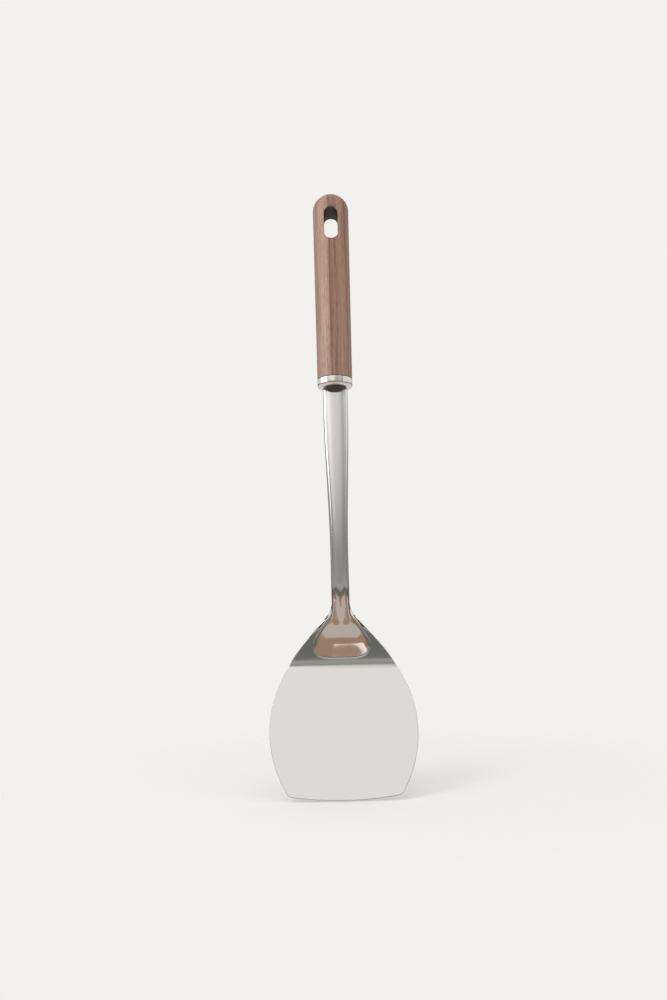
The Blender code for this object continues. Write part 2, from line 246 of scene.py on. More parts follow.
def turned_mesh(name: str, profile: list[Pair], steps: int) -> Mesh:
    """Turns a profile round the Z axis.

    Args:
        name: the mesh's name.
        profile: (radius, height) points. Ends on the axis become poles, and others close the profile's loop.
        steps: number of steps round.

    Returns:
        A closed mesh.
    """
    bm = bmesh.new()
    rings = []
    for radius, height in profile:
        angles = [2 * math.pi * i / steps for i in range(steps if radius > 0 else 1)]
        rings.append([bm.verts.new((radius * math.cos(a), radius * math.sin(a), height)) for a in angles])
    pairs = list(zip(rings, rings[1:]))
    if profile[0][0] > 0:
        pairs.append((rings[-1], rings[0]))
    for upper, lower in pairs:
        for i in range(steps):
            places = ((upper, i), (upper, i + 1), (lower, i + 1), (lower, i))
            corners = [ring[at % steps % len(ring)] for ring, at in places]
            bm.faces.new(list(dict.fromkeys(corners)))
    return mesh_from(name, bm)


def arc_points(centre: Pair, radius: float, first: float, last: float, steps: int) -> list[Pair]:
    """Finds (radius, height) points of an arc in a profile, between two angles in degrees from outward."""
    angles = [math.radians(first + (last - first) * i / steps) for i in range(steps + 1)]
    return [(centre[0] + radius * math.cos(a), centre[1] + radius * math.sin(a)) for a in angles]


def cut_out(obj: Object, cutter: Mesh) -> None:
    """Takes a closed mesh out of a piece.

    Args:
        obj: the piece.
        cutter: what is taken out, in the piece's own frame.
    """
    tool = object_with("cutter", cutter)
    boolean = obj.modifiers.new("cut", "BOOLEAN")
    boolean.operation = "DIFFERENCE"
    boolean.solver = "EXACT"
    boolean.object = tool
    baked(obj)
    bpy.data.objects.remove(tool, do_unlink=True)


def leaned(obj: Object, sharp_angle: float, material: Material) -> None:
    """Leans a piece made on the handle's axis into the frame, shades it and gives it its material.

    Args:
        obj: the piece, whose object stays at the origin.
        sharp_angle: edges sharper than this many degrees stay sharp.
        material: the piece's only material.
    """
    obj.data.transform(Matrix.Rotation(-HANDLE_LEAN, 4, "X"))
    obj.data.materials.clear()
    obj.data.materials.append(material)
    obj.data.shade_smooth()
    obj.data.set_sharp_from_angle(angle=math.radians(sharp_angle))
    obj.modifiers.new("weighted", "WEIGHTED_NORMAL").keep_sharp = True
    baked(obj)


def smooth(low: float, high: float, value: float) -> float:
    """Rises from 0 where the value is low to 1 where it is high, level at both ends."""
    t = min(1.0, max(0.0, (value - low) / (high - low)))
    return t * t * (3 - 2 * t)


@dataclass(frozen=True)
class PolishedSteel:
    """18/10 stainless steel sheet, pressed and buffed.

    It gives the eye a near mirror with a slightly warm tint. Buffing leaves hairlines along the metal, and
    handling leaves wide soft smears that dull it a little. Real hairlines are about 0.05 mm apart. These are
    drawn ten times as coarse, to show at all.
    """

    name: str
    polish: Polish
    colour: str = "#cfccc8"
    smear_mm: float = 26.0
    smear_span: Pair = (0.35, 0.75)
    smear_dulling: float = 1.7
    hairline_mm: float = 0.5
    hairline_length_mm: float = 24.0
    hairline_depth_scale: float = 0.2
    hairline_dulling: float = 0.4
    hairline_relief: Pair = (0.25, 0.00001)

    def material(self) -> Material:
        """Makes the node material.

        Returns:
            The material.
        """
        material, tree = new_material(self.name)
        add = partial(add_node, tree)
        place = aligned_place(tree)
        soft = {"Vector": place, "Scale": MM / self.smear_mm, "Detail": 3.0, "Roughness": 0.55}
        smears = add("ShaderNodeTexNoise", soft)
        combed = (self.hairline_mm, self.hairline_length_mm, self.hairline_depth_scale)
        lines = drawn_noise(tree, place, *combed)
        clean = self.polish.value
        smeared = (smears, *self.smear_span, clean, clean * self.smear_dulling)
        dulled = add("ShaderNodeMapRange", smeared)
        both = (lines, clean * self.hairline_dulling, dulled)
        lined = add("ShaderNodeMath", both, operation="MULTIPLY_ADD")
        looks = {"Base Color": linear(self.colour), "Metallic": 1.0, "Roughness": lined}
        finished(tree, looks, self.hairline_relief, lines)
        return material


@dataclass(frozen=True)
class OiledWalnut:
    """American black walnut, turned along the grain, sanded and oiled.

    It gives the eye straight growth rings cut lengthways, as light and dark lines from end to end, finer
    streaks between them, dark pores a few millimetres long, and a soft satin sheen. One band left of the
    middle is pinkish and pale: partly a ring, and partly a painted highlight, the sheen of the light from
    the left painted into the ring colours. The walls of the hang slot are painted much darker, a painted
    shade for the shadow inside the slot. Walnut pores are about 0.15 mm wide. These are drawn twice as wide,
    so that single ones show. The rings' places are millimetres from the middle, and the slot's walls start
    between two depths under the bar's surface.
    """

    ball_radius: float
    ball_height: float
    name: str = "oiled_walnut"
    # The pale pinkish stops from -8.2 to -4.5 mm are partly a ring and partly a painted highlight, the sheen
    # of the light from the left
    rings: Stops = (
        (-11.4, "#8f6f61"), (-9.6, "#997a6c"), (-8.2, "#a58577"), (-7.0, "#b39082"), (-4.5, "#b08d7f"),
        (-2.6, "#a48070"), (-1.9, "#8a6657"), (-1.3, "#7a5748"), (-0.6, "#8d6a5a"), (0.6, "#93705f"),
        (1.8, "#856253"), (3.2, "#947160"), (5.0, "#a07c69"), (7.2, "#9b7862"), (8.4, "#8f6c57"),
        (8.9, "#7c5a46"), (9.5, "#967159"), (11.2, "#8c6a55"),
    )
    ring_reach_mm: float = 11.6
    wander_mm: float = 1.4
    wave_mm: float = 15.0
    wave_length_mm: float = 60.0
    streak_mm: float = 0.8
    streak_length_mm: float = 45.0
    streak_span: Pair = (0.3, 0.7)
    streak_tones: Pair = (0.74, 1.16)
    pore_mm: float = 0.30
    pore_length_mm: float = 5.0
    pore_span: Pair = (0.30, 0.50)
    pore_tone: float = 0.64
    pore_relief: Pair = (0.5, 0.00004)
    satin: Pair = (0.60, 0.42)
    ior: float = 1.46
    # Painted shade: the slot's walls get this dark colour in place of the shadow inside the slot
    slot_painted_shade: str = "#4a362f"
    slot_sheen: float = 0.1
    sheen: float = 0.5
    wall_depths: Pair = (0.00117, 0.0009)

    def outside(self, tree: NodeTree, place: NodeSocket) -> NodeSocket:
        """Tells the bar's outside from the slot's walls, by the distance from its axis or its ball's middle.

        Args:
            tree: the material's node tree.
            place: coordinates with Z along the handle.

        Returns:
            1 outside, and 0 on the walls.
        """
        add = partial(add_node, tree)
        x, y, z = add("ShaderNodeSeparateXYZ", (place,)).node.outputs
        above = add("ShaderNodeMath", (z, self.ball_height), operation="SUBTRACT")
        in_ball = add("ShaderNodeMath", (above, 0.0), operation="MAXIMUM")
        from_middle = add("ShaderNodeCombineXYZ", (x, y, in_ball))
        depth = add("ShaderNodeVectorMath", (from_middle,), operation="LENGTH")
        wall, skin = (self.ball_radius - under for under in self.wall_depths)
        return add("ShaderNodeMapRange", (depth, wall, skin))

    def material(self) -> Material:
        """Makes the node material.

        Returns:
            The material.
        """
        material, tree = new_material(self.name)
        add = partial(add_node, tree)
        place = aligned_place(tree)
        wave = drawn_noise(tree, place, self.wave_mm, self.wave_length_mm)
        x = add("ShaderNodeSeparateXYZ", (place,))
        across = add("ShaderNodeMath", (x, MM, -self.wander_mm / 2), operation="MULTIPLY_ADD")
        swung = add("ShaderNodeMath", (wave, self.wander_mm, across), operation="MULTIPLY_ADD")
        # These ring colours hold a painted highlight: the pale band left of the middle stands partly for the
        # sheen of the light from the left
        tones = graded(tree, swung, self.rings, (-self.ring_reach_mm, self.ring_reach_mm))
        streaks = drawn_noise(tree, place, self.streak_mm, self.streak_length_mm)
        streaks = add("ShaderNodeMapRange", (streaks, *self.streak_span, *self.streak_tones))
        fibres = drawn_noise(tree, place, self.pore_mm, self.pore_length_mm)
        dark = (fibres, *self.pore_span, self.pore_tone, 1.0)
        pores = add("ShaderNodeMapRange", dark, interpolation_type="SMOOTHSTEP")
        for pattern in (streaks, pores):
            layers = (1.0, tones, pattern)
            tones = add("ShaderNodeMix", layers, data_type="RGBA", blend_type="MULTIPLY")
        # Painted shade: where the mask is 0, on the slot's walls, the colour turns to the dark stand-in for
        # the slot's shadow
        outside = self.outside(tree, place)
        toned = add("ShaderNodeMix", (outside, linear(self.slot_painted_shade), tones), data_type="RGBA")
        satin = add("ShaderNodeMapRange", (fibres, 0.0, 1.0, *self.satin))
        sheen = add("ShaderNodeMapRange", (outside, 0.0, 1.0, self.slot_sheen, self.sheen))
        looks = {"Base Color": toned, "Roughness": satin, "IOR": self.ior, "Specular IOR Level": sheen}
        finished(tree, looks, self.pore_relief, pores)
        return material


@dataclass(frozen=True)
class MouldedPolymer:
    """A polymer part with the fine spark-eroded grain of its mould, or of a casting's free surface.

    It gives the eye a plain body colour with a faint mottled sheen.
    """

    name: str
    colour: str
    roughness: float
    ior: float
    grain_mm: float
    sheen_spread: float = 0.2
    tone_spread: float = 0.15
    relief: Pair = (0.3, 0.00003)

    def material(self) -> Material:
        """Makes the node material.

        Returns:
            The material.
        """
        material, tree = new_material(self.name)
        add = partial(add_node, tree)
        place = add("ShaderNodeTexCoord", output="Object")
        cells = {"Vector": place, "Scale": MM / self.grain_mm, "Detail": 3.0}
        grain = add("ShaderNodeTexNoise", cells)
        ends = (self.roughness * (1 - self.sheen_spread), self.roughness * (1 + self.sheen_spread))
        sheen = add("ShaderNodeMapRange", (grain, 0.0, 1.0, *ends))
        ends = (1 - self.tone_spread, 1 + self.tone_spread)
        tone = add("ShaderNodeMapRange", (grain, 0.0, 1.0, *ends))
        layers = (1.0, linear(self.colour), tone)
        toned = add("ShaderNodeMix", layers, data_type="RGBA", blend_type="MULTIPLY")
        looks = {"Base Color": toned, "Roughness": sheen, "IOR": self.ior}
        finished(tree, looks, self.relief, grain)
        return material


@dataclass
class BladeAndShank:
    """Blade, pressed neck, channel shank and tang, from one steel sheet.

    Stations run along the metal from the front edge. Leans are in degrees from the handle's axis, positive
    towards the food side. A stretch has its length, its lean at its end and its number of rows.
    """

    gauge: float = 0.0015
    lip_share: float = 0.45
    lip_length: float = 0.0060
    rim_ease: float = 0.00022
    rim_angle: float = 50.0
    ease_top: float = -0.280
    width: float = 0.0900
    widest_station: float = 0.0471
    side_radius: float = 0.0908
    front_radius: float = 0.1870
    corner_radius: float = 0.0057
    shoulder_angle: float = 42.0
    neck_fillet: float = 0.0140
    neck_width: float = 0.0111
    shank_width: float = 0.0159
    taper_shares: Pair = (0.16, 0.93)
    stretches: tuple[tuple[float, float, int], ...] = (
        (0.0878, -23.2, 80), (0.0078, 2.8, 12), (0.0094, 4.8, 24), (0.0101, 18.8, 12), (0.0120, 26.8, 14),
        (0.0156, -4.2, 18), (0.0676, -3.7, 20), (0.0535, -2.7, 16), (0.0066, 0.0, 6),
    )
    straight_turn: float = 0.0002
    tang_length: float = 0.0560
    tang_width: float = 0.0088
    crown: float = 0.0036
    wall: float = 0.0020
    flare_length: float = 0.0234
    crease_rise: float = 0.0083
    crease_lead: float = 0.0260
    crease_fade: float = 0.0320
    crease_share: float = 0.71
    flange_fade: float = 0.0080
    flange_margin: float = 0.0002
    scoop_exponent: float = 3.6
    shank_exponent: float = 3.5
    crease_turn: float = 1.2
    step_depth: float = 0.0005
    step_reach: float = 0.0012
    step_exponent: float = 0.3
    flute_depth: float = 0.0010
    flute_offset: float = 0.0028
    flute_spread: float = 0.0014
    flute_reach: float = 0.0150
    flute_rise: float = 0.0045
    front_blend: float = 0.0220
    front_rows: int = 12
    front_spacing: float = 1.5
    arch_columns: int = 22
    side_columns: int = 8
    shoulder_height: float = -0.121
    sharp_angle: float = 60.0

    def __post_init__(self) -> None:
        """Finds the stations of the scoop's crease, the neck's waist, the straight shank and the shoulder."""
        ends = list(accumulate(length for length, _, _ in self.stretches))
        self.crease, self.neck, self.shank, self.shoulder = ends[1], ends[4], ends[5], ends[-1]

    def spine_point(self, station: float) -> tuple[float, float, float]:
        """Follows the sheet's skirt line, a chain of arcs.

        Args:
            station: distance from the front edge along the metal.

        Returns:
            Y, Z and lean in radians there.
        """
        y = z = 0.0
        lean = math.radians(self.stretches[0][1])
        for length, end_degrees, _ in self.stretches:
            end = math.radians(end_degrees)
            run = min(length, station)
            turn = end - lean
            if abs(turn) < self.straight_turn:
                y -= math.sin(lean) * run
                z += math.cos(lean) * run
            else:
                reached = lean + turn * run / length
                y += (math.cos(reached) - math.cos(lean)) * length / turn
                z += (math.sin(reached) - math.sin(lean)) * length / turn
            if station <= length:
                return y, z, lean + turn * run / length
            station -= length
            lean = end
        return y - math.sin(lean) * station, z + math.cos(lean) * station, lean

    def half_width(self, station: float) -> float:
        """Half of the sheet's width: side arc, straight shoulder, neck fillet, then the tapered shank.

        Args:
            station: distance from the front edge along the metal.

        Returns:
            The half width.
        """
        turn = math.radians(self.shoulder_angle)
        tangent_station = self.widest_station + self.side_radius * math.sin(turn)
        tangent_half = self.width / 2 - self.side_radius * (1 - math.cos(turn))
        if station < tangent_station:
            offset = station - self.widest_station
            return self.width / 2 - self.side_radius + math.sqrt(self.side_radius**2 - offset**2)
        neck_half = self.neck_width / 2
        meet_station = tangent_station + (tangent_half - neck_half) / math.tan(turn)
        setback = self.neck_fillet * math.tan(turn / 2)
        if station < meet_station - setback * math.cos(turn):
            return tangent_half - (station - tangent_station) * math.tan(turn)
        fillet_end = meet_station + setback
        if station < fillet_end:
            return neck_half + self.neck_fillet - math.sqrt(self.neck_fillet**2 - (fillet_end - station) ** 2)
        shank = self.shoulder - self.shank
        start, end = (self.shank + share * shank for share in self.taper_shares)
        return neck_half + (self.shank_width - self.neck_width) / 2 * smooth(start, end, station)

    def crease_lift(self, station: float) -> float:
        """How far a row's outer part runs ahead of its middle, so that one row is the curved crease.

        Args:
            station: the row's station.

        Returns:
            The distance.
        """
        crease = self.crease
        if station < crease:
            return self.crease_rise * smooth(crease - self.crease_lead, crease, station)
        return self.crease_rise * (1 - smooth(crease, crease + self.crease_fade, station))

    def crease_half(self, station: float) -> float:
        """Half width inside the crease.

        Args:
            station: a station of the sheet's outer part.

        Returns:
            The half width.
        """
        corner = self.crease + self.crease_rise
        if station < corner:
            return self.crease_share * self.half_width(station)
        widest = (1 - self.crease_share) * self.half_width(corner) - self.flange_margin
        margin = self.flange_margin + widest * math.exp((corner - station) / self.flange_fade)
        return self.half_width(station) - margin

    def placed(self, x: float, station: float, raised: float) -> Vector:
        """Finds the point at a place across and a station, raised in front of the skirt line."""
        y, z, lean = self.spine_point(station)
        return Vector((x, y - raised * math.cos(lean), z - raised * math.sin(lean)))

    def columns(self) -> list[Pair]:
        """Lays out the columns from the middle to the edge, closest where the arch turns most.

        Returns:
            Angle round the arch and share of the skirt of each.
        """
        angles = [math.pi / 2 * smooth(0, self.arch_columns, i) for i in range(self.arch_columns + 1)]
        shares = [i / self.side_columns for i in range(1, self.side_columns + 1)]
        return [(angle, 0.0) for angle in angles] + [(math.pi / 2, share) for share in shares]

    def sheet_point(self, station: float, angle: float, skirt: float) -> Vector:
        """Finds a point of the food side.

        Args:
            station: its row's station.
            angle: its angle round the arch.
            skirt: its share of the skirt outside the arch.

        Returns:
            The point.
        """
        crease = self.crease
        shape = smooth(crease, self.shank, station)
        power = 2 / (self.scoop_exponent + (self.shank_exponent - self.scoop_exponent) * shape)
        lift = self.crease_lift(station)
        inner_half = self.crease_half(station + lift)
        if skirt > 0:
            x = inner_half + (self.half_width(station + lift) - inner_half) * skirt
            drop = self.wall * smooth(crease, self.neck, station)
            return self.placed(x, station + lift, -drop * skirt)
        x = inner_half * math.sin(angle) ** power
        flare = min(1.0, max(0.0, (station - crease) / self.flare_length))
        crown = self.crown * math.sin(math.pi / 2 * flare)
        along = abs(station - self.neck - self.flute_rise) / self.flute_reach
        across = (abs(x) - self.flute_offset) / self.flute_spread
        flute = self.flute_depth * (1 - smooth(0.0, 1.0, along)) * math.exp(-(across**2))
        foot = crease + self.step_reach
        down = smooth(crease, foot, station) * (1 - smooth(foot, self.neck, station))
        step = self.step_depth * down * math.cos(angle) ** self.step_exponent
        own = station + lift * (1 - math.cos(angle)) ** self.crease_turn
        return self.placed(x, own, crown * max(0.0, math.cos(angle)) ** power - step - flute)

    def front_outline(self, share: float) -> Pair:
        """Follows the front arc and the round corner that touches it and the side arc from inside.

        Args:
            share: share of the way from the middle to the corner's end.

        Returns:
            Place across, and station.
        """
        front = Vector((0.0, self.front_radius))
        side = Vector((self.width / 2 - self.side_radius, self.widest_station))
        to_front = self.front_radius - self.corner_radius
        to_side = self.side_radius - self.corner_radius
        apart = side - front
        along = (apart.length_squared + to_front**2 - to_side**2) / (2 * apart.length)
        off = math.sqrt(to_front**2 - along**2)
        direction = apart.normalized()
        centre = front + direction * along + Vector((-direction.y, direction.x)) * off
        lean = math.atan2(centre.x, self.front_radius - centre.y)
        from_side = centre - side
        turn = math.atan2(from_side.y, from_side.x) + math.pi / 2
        arc = self.front_radius * lean
        distance = share * (arc + self.corner_radius * (turn - lean))
        if distance <= arc:
            angle = distance / self.front_radius
            return self.front_radius * math.sin(angle), self.front_radius * (1 - math.cos(angle))
        angle = lean + (distance - arc) / self.corner_radius
        corner = self.corner_radius
        return centre.x + corner * math.sin(angle), centre.y - corner * math.cos(angle)

    def front_row(self, blend: float) -> list[Vector]:
        """Lays out a row near the front edge.

        Args:
            blend: 0 for the front edge itself, up to 1 for the first straight row.

        Returns:
            Its points from the middle to the edge.
        """
        row = []
        for angle, skirt in self.columns():
            arch = math.sin(angle) ** (2 / self.scoop_exponent)
            across = self.crease_share * arch + (1 - self.crease_share) * skirt
            front_x, front_station = self.front_outline(across)
            front_share = front_x / self.half_width(front_station)
            station = front_station + (self.front_blend - front_station) * blend
            share = front_share + (across - front_share) * blend
            row.append(self.placed(share * self.half_width(station), station, 0.0))
        return row

    def rows(self) -> list[list[Vector]]:
        """Lays out the right half of the food side.

        Returns:
            Rows of points from the front edge to the end of the tang.
        """
        rows = [self.front_row((i / self.front_rows) ** self.front_spacing) for i in range(self.front_rows)]
        start = self.front_blend
        end = 0.0
        stations = [start]
        for length, _, count in self.stretches:
            end += length
            stations += [start + (end - start) * i / count for i in range(1, count + 1)]
            start = end
        rows += [[self.sheet_point(station, *column) for column in self.columns()] for station in stations]
        half = self.tang_width / 2
        places = [point.x for point in rows[-1] if point.x < half] + [half]
        for station in (end + FIT_GAP, end + self.tang_length):
            rows.append([self.placed(x, station, self.crown) for x in places])
        return rows

    def shell(self) -> Object:
        """Lofts the food side, mirrors it and gives it its gauge, thinner at the ground front lip.

        Returns:
            The piece, on the handle's axis.
        """
        rows = self.rows()
        bm = bmesh.new()
        lip = bm.verts.layers.deform.verify()
        grid = [[bm.verts.new(point) for point in row] for row in rows]
        for lower, upper in zip(grid, grid[1:]):
            for i in range(len(upper) - 1):
                bm.faces.new((lower[i], lower[i + 1], upper[i + 1], upper[i]))
        for i in range(self.front_rows):
            from_edge = (i / self.front_rows) ** self.front_spacing * self.front_blend
            for vert in grid[i]:
                vert[lip][0] = max(0.0, 1 - from_edge / self.lip_length)
        mesh = bpy.data.meshes.new("blade_and_shank")
        bm.to_mesh(mesh)
        bm.free()
        piece = object_with("steel_blade_and_shank", mesh)
        piece.vertex_groups.new(name="front_lip")
        mirror = piece.modifiers.new("other_half", "MIRROR")
        mirror.merge_threshold = MERGE_DISTANCE
        gauge = piece.modifiers.new("gauge", "SOLIDIFY")
        gauge.thickness = self.gauge
        gauge.offset = -1.0
        gauge.use_even_offset = True
        gauge.vertex_group = "front_lip"
        gauge.invert_vertex_group = True
        gauge.thickness_vertex_group = self.lip_share
        baked(piece)
        shoulder = self.placed(0.0, self.shoulder, self.crown)
        seat = Vector((0.0, -shoulder.y - self.gauge / 2, self.shoulder_height - shoulder.z))
        piece.data.transform(Matrix.Translation(seat))
        return piece

    def ease_rim(self, piece: Object) -> None:
        """Rounds the two edges of the sheet's rim, all round the blade up to where its flanges grow narrow.

        Args:
            piece: the shell.
        """
        bm = bmesh.new()
        bm.from_mesh(piece.data)
        rim = []
        for edge in bm.edges:
            low = max(vert.co.z for vert in edge.verts) < self.ease_top
            if low and len(edge.link_faces) == 2 and edge.calc_face_angle() > math.radians(self.rim_angle):
                rim.append(edge)
        bmesh.ops.bevel(
            bm, geom=rim, offset=self.rim_ease, segments=2, profile=0.5, affect="EDGES", clamp_overlap=False
        )
        bm.to_mesh(piece.data)
        bm.free()

    def build(self) -> Object:
        """Makes the sheet and dresses it.

        Returns:
            The piece.
        """
        piece = self.shell()
        self.ease_rim(piece)
        leaned(piece, self.sharp_angle, PolishedSteel("polished_blade_steel", Polish.BLADE).material())
        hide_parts("blade_and_shank")
        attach(piece, BODY)
        return piece


@dataclass
class Ferrule:
    """The drawn steel cup at the handle's lower end, with a round lower edge and a hole for the seal.

    The steps of its arcs are those of its rim, its round edge, the hole's edge and the round edge's inside.
    """

    diameter: float = 0.0223
    top: float = -0.1148
    height: float = 0.0056
    wall: float = 0.0008
    roll: float = 0.0022
    mouth: float = 0.0143
    ease: float = 0.00015
    steps: int = 128
    arc_steps: tuple[int, ...] = (2, 12, 3, 8)
    sharp_angle: float = 40.0

    def bottom(self) -> float:
        """Height of the cup's lower face."""
        return self.top - self.height

    def build(self) -> Object:
        """Turns the cup and dresses it.

        Returns:
            The piece.
        """
        outer = self.diameter / 2
        turn = (outer - self.roll, self.bottom() + self.roll)
        mouth = self.mouth / 2
        rim, roll, lip, inner = self.arc_steps
        profile = arc_points((outer - self.ease, self.top - self.ease), self.ease, 90, 0, rim)
        profile += arc_points(turn, self.roll, 0, -90, roll)
        profile += arc_points((mouth + self.ease, self.bottom() + self.ease), self.ease, -90, -180, lip)
        profile += [(mouth, self.bottom() + self.wall)]
        profile += arc_points(turn, self.roll - self.wall, -90, 0, inner)
        profile += [(outer - self.wall, self.top)]
        piece = object_with("steel_ferrule", turned_mesh("ferrule", profile, self.steps))
        leaned(piece, self.sharp_angle, PolishedSteel("polished_ferrule_steel", Polish.FERRULE).material())
        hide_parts("ferrule")
        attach(piece, BODY)
        return piece


@dataclass
class MouthSeal:
    """The black plug in the ferrule's mouth, with a flange inside the cup and a slot for the tang."""

    ferrule: Ferrule
    proud: float = 0.0006
    ease: float = 0.0004
    slot_width: float = 0.0094
    slot_depth: float = 0.0021
    steps: int = 96
    ease_steps: int = 4
    sharp_angle: float = 40.0

    def build(self) -> Object:
        """Turns the plug, cuts its slot and dresses it.

        Returns:
            The piece.
        """
        cup = self.ferrule
        plug = cup.mouth / 2 - FIT_GAP
        flange = cup.diameter / 2 - cup.roll
        flange_low = cup.bottom() + cup.wall + FIT_GAP
        flange_top = cup.bottom() + cup.roll - FIT_GAP
        low = cup.bottom() - self.proud
        profile = [(0.0, flange_top), (flange, flange_top), (flange, flange_low), (plug, flange_low)]
        profile += arc_points((plug - self.ease, low + self.ease), self.ease, 0, -90, self.ease_steps)
        profile += [(0.0, low)]
        piece = object_with("black_mouth_seal", turned_mesh("mouth_seal", profile, self.steps))
        bm = bmesh.new()
        bmesh.ops.create_cube(bm)
        through = 4 * (flange_top - low)
        bmesh.ops.scale(bm, verts=bm.verts, vec=(self.slot_width, self.slot_depth, through))
        bmesh.ops.translate(bm, verts=bm.verts, vec=(0.0, 0.0, low))
        cut_out(piece, mesh_from("slot", bm))
        nylon = MouldedPolymer("black_nylon", "#2b2927", roughness=0.42, ior=1.53, grain_mm=0.8)
        leaned(piece, self.sharp_angle, nylon.material())
        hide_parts("mouth_seal")
        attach(piece, BODY)
        return piece


@dataclass
class TangBond:
    """The cured adhesive round the tang, which keeps its solid from the frame."""

    def build(self) -> Object:
        """Dresses the solid.

        Returns:
            The frame's own node.
        """
        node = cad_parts["tang_bond"]
        node.data.materials.clear()
        epoxy = MouldedPolymer("cured_epoxy", "#c8b98a", roughness=0.3, ior=1.55, grain_mm=1.5)
        node.data.materials.append(epoxy.material())
        return node


